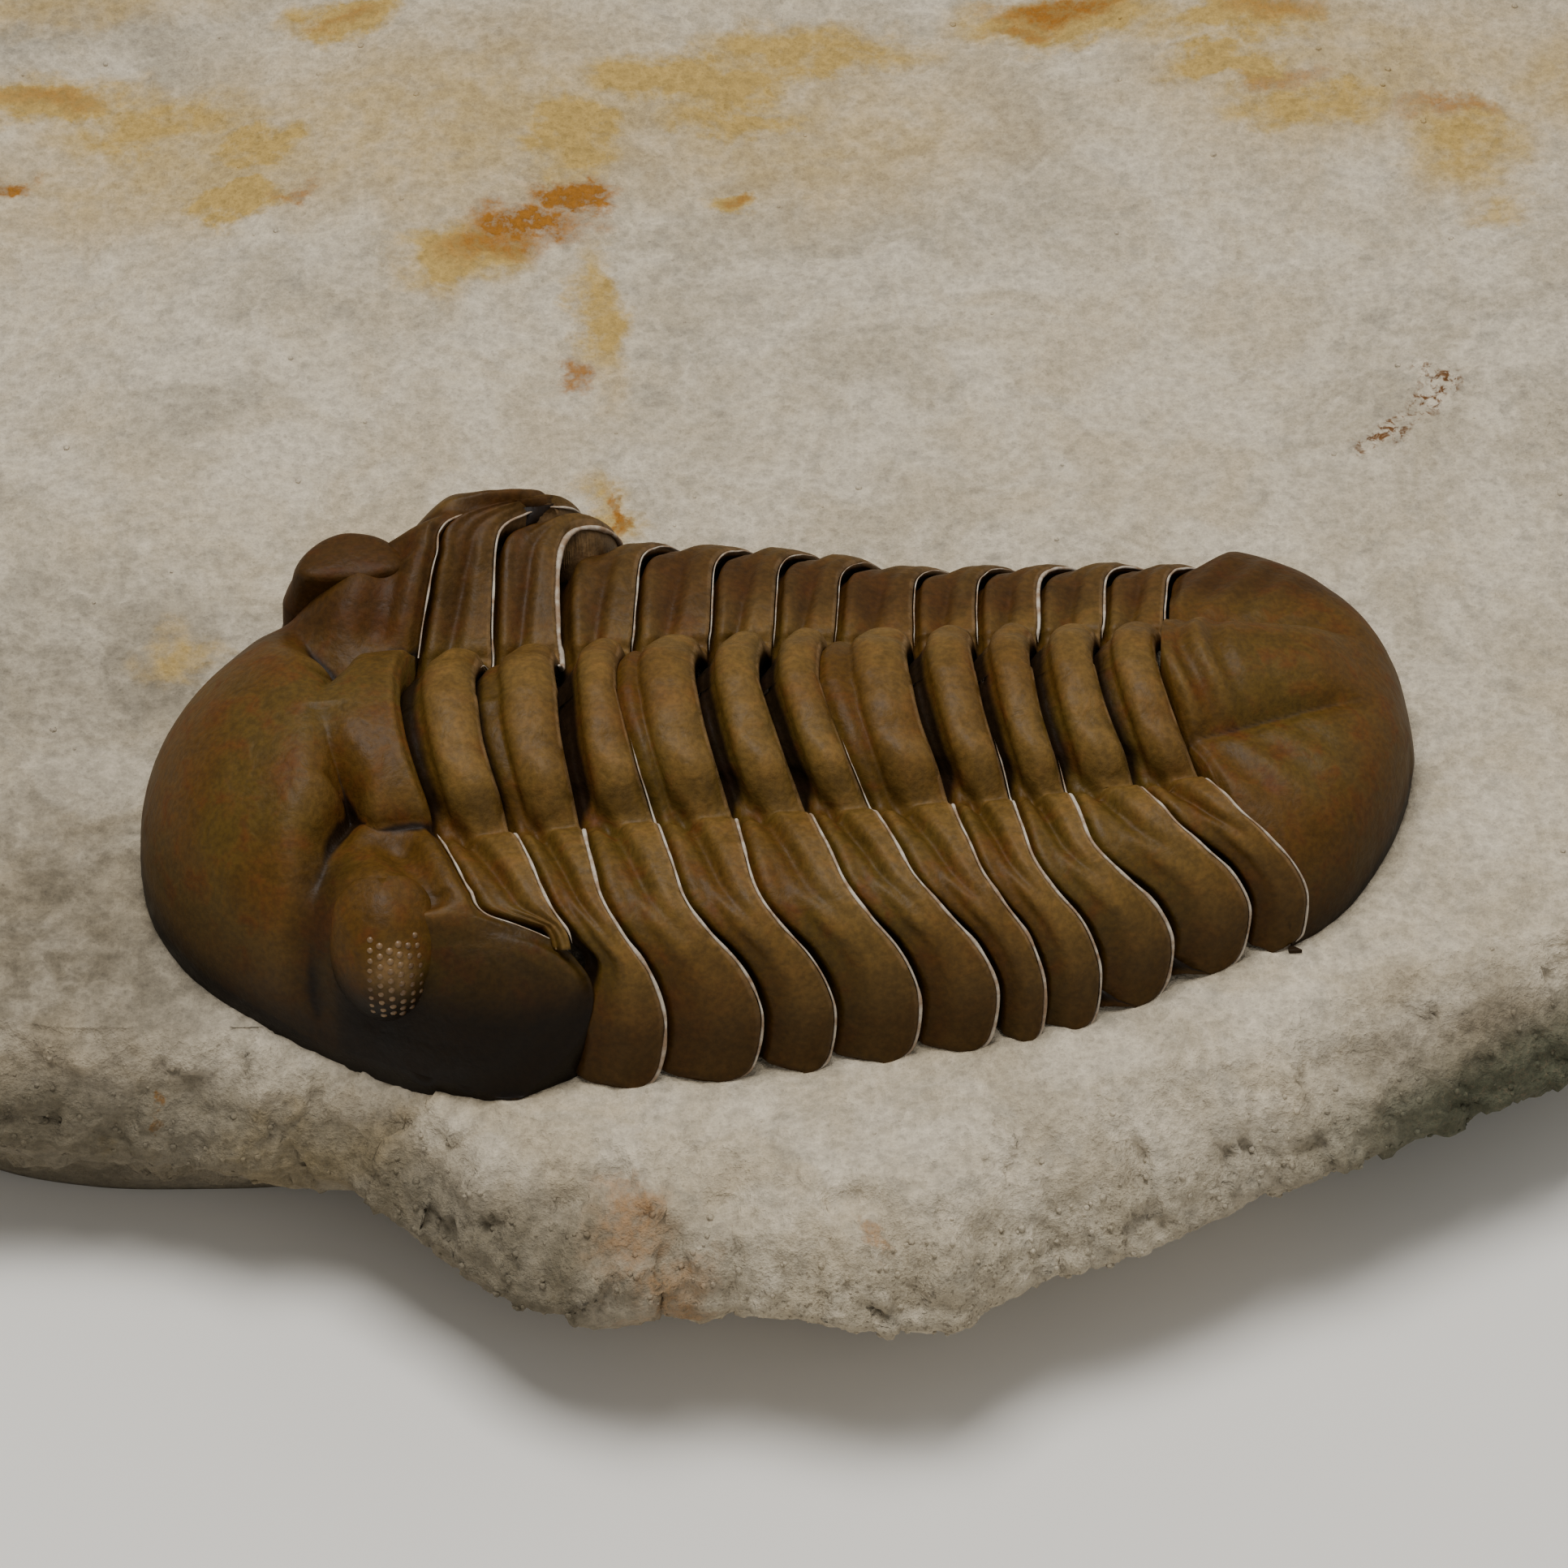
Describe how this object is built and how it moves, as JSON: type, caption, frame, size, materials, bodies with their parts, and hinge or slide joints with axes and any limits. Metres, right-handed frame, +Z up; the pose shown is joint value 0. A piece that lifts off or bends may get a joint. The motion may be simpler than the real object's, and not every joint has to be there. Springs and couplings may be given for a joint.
{
  "type": "kainops trilobite fossil",
  "caption": "Trilobite fossil lying on its slab of pale limestone: a big-eyed head, an arched thorax of jointed segments and a rounded tail shield, with a flat underside to rest on.",
  "frame": {"origin": "centre of the slab in plan, on its flat underside", "axes": "+X runs from the head to the tail and along the slab's longest side, +Z is up out of the bedding plane, and +Y points to the animal's right side, the far side in the picture"},
  "size_m": [0.0576, 0.053, 0.0131],
  "materials": {
    "limestone": "dry, gritty, matt, broken at the edge",
    "exoskeleton": "brown calcite cuticle with a satin sheen, finely grained"
  },
  "bodies": {
    "root": {"matrix_rock": "limestone", "cephalon": "exoskeleton", "thoracic_segment_01": "exoskeleton", "thoracic_segment_02": "exoskeleton", "thoracic_segment_03": "exoskeleton", "thoracic_segment_04": "exoskeleton", "thoracic_segment_05": "exoskeleton", "thoracic_segment_06": "exoskeleton", "thoracic_segment_07": "exoskeleton", "thoracic_segment_08": "exoskeleton", "thoracic_segment_09": "exoskeleton", "thoracic_segment_10": "exoskeleton", "thoracic_segment_11": "exoskeleton", "pygidium": "exoskeleton"}
  },
  "joints": []
}
